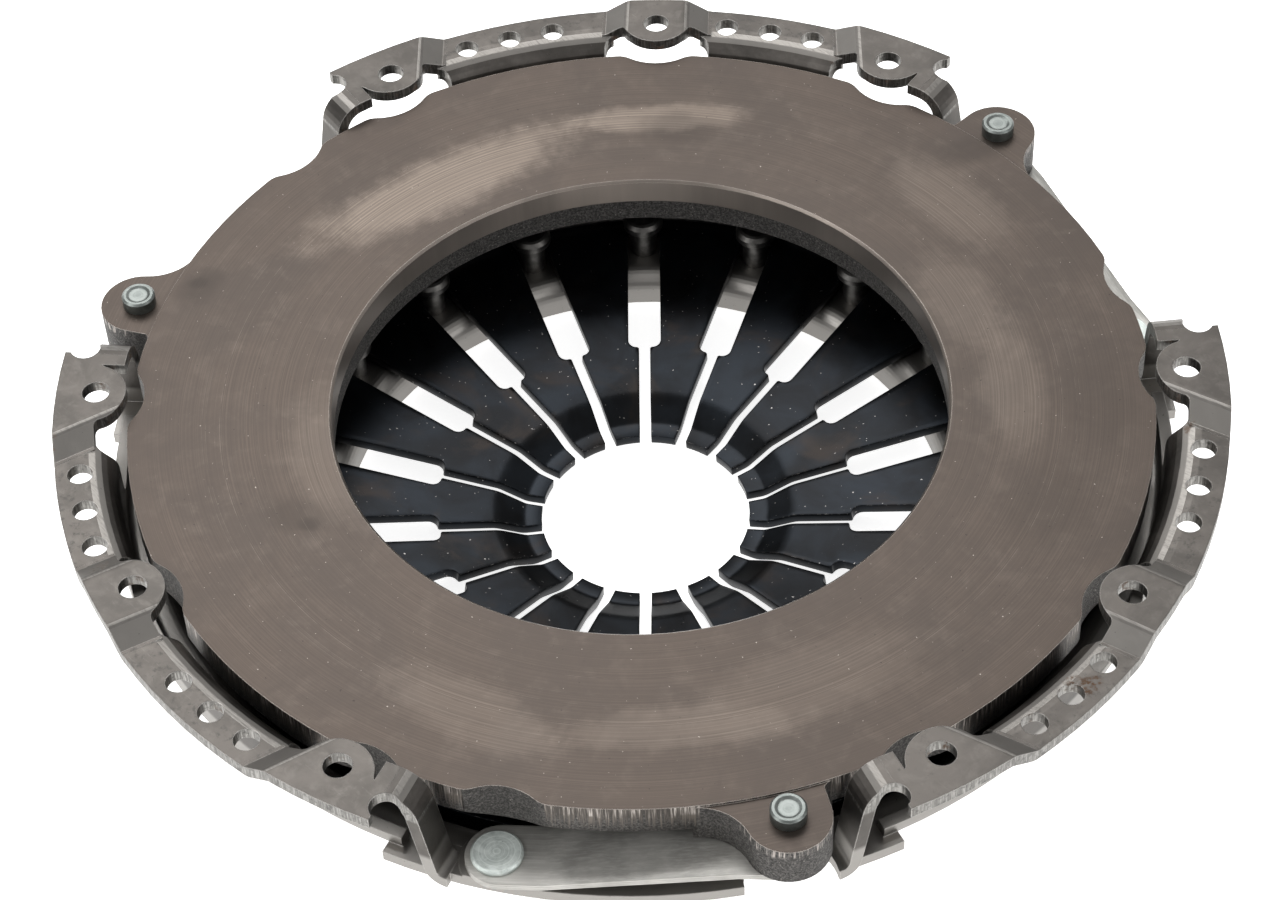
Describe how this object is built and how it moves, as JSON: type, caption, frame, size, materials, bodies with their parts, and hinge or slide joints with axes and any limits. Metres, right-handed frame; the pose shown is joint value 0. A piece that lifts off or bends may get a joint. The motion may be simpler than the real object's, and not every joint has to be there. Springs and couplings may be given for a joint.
{
  "type": "clutch pressure plate",
  "caption": "Clutch pressure plate: a cast ring on leaf straps in a pressed bolting cover, pushed by a slotted diaphragm spring riveted at its fulcrum.",
  "frame": {"origin": "on the clutch axis, in the plane of the bolting pads' top faces", "axes": "+Z along the clutch axis towards the flywheel; +Y through the middle of one flange segment"},
  "size_m": [0.466, 0.4569, 0.0849],
  "materials": {
    "cover_steel": "satin pressed steel",
    "cast_iron": "turned face, rough cast sides",
    "spring_steel": "black oiled temper finish",
    "ring_wire": "drawn wire",
    "rivet_steel": "satin",
    "strap_steel": "rolled",
    "plated_steel": "zinc plated"
  },
  "bodies": {
    "cover": {"cover": "cover_steel", "diaphragm_spring": "spring_steel", "front_fulcrum_ring": "ring_wire", "rear_fulcrum_ring": "ring_wire", "fulcrum_rivet_1": "rivet_steel", "fulcrum_rivet_2": "rivet_steel", "fulcrum_rivet_3": "rivet_steel", "fulcrum_rivet_4": "rivet_steel", "fulcrum_rivet_5": "rivet_steel", "fulcrum_rivet_6": "rivet_steel", "fulcrum_rivet_7": "rivet_steel", "fulcrum_rivet_8": "rivet_steel", "fulcrum_rivet_9": "rivet_steel", "fulcrum_rivet_10": "rivet_steel", "fulcrum_rivet_11": "rivet_steel", "fulcrum_rivet_12": "rivet_steel", "fulcrum_rivet_13": "rivet_steel", "fulcrum_rivet_14": "rivet_steel", "fulcrum_rivet_15": "rivet_steel", "fulcrum_rivet_16": "rivet_steel", "fulcrum_rivet_17": "rivet_steel", "fulcrum_rivet_18": "rivet_steel", "strap_1_leaf_1": "strap_steel", "strap_1_leaf_2": "strap_steel", "strap_1_leaf_3": "strap_steel", "strap_2_leaf_1": "strap_steel", "strap_2_leaf_2": "strap_steel", "strap_2_leaf_3": "strap_steel", "strap_3_leaf_1": "strap_steel", "strap_3_leaf_2": "strap_steel", "strap_3_leaf_3": "strap_steel", "strap_rivet_1": "plated_steel", "strap_rivet_2": "plated_steel", "strap_rivet_3": "plated_steel"},
    "pressure_plate": {"pressure_plate": "cast_iron", "lug_rivet_1": "plated_steel", "lug_rivet_2": "plated_steel", "lug_rivet_3": "plated_steel"}
  },
  "joints": [
    {"name": "plate_lift", "type": "slide", "parent": "cover", "child": "pressure_plate", "axis": [0, 0, -1], "range_m": [0, 0.0042], "stiffness_N_per_m": 500000, "springref_m": -0.0005, "deforming": ["diaphragm_spring", "strap_1_leaf_1", "strap_1_leaf_2", "strap_1_leaf_3", "strap_2_leaf_1", "strap_2_leaf_2", "strap_2_leaf_3", "strap_3_leaf_1", "strap_3_leaf_2", "strap_3_leaf_3"]}
  ]
}
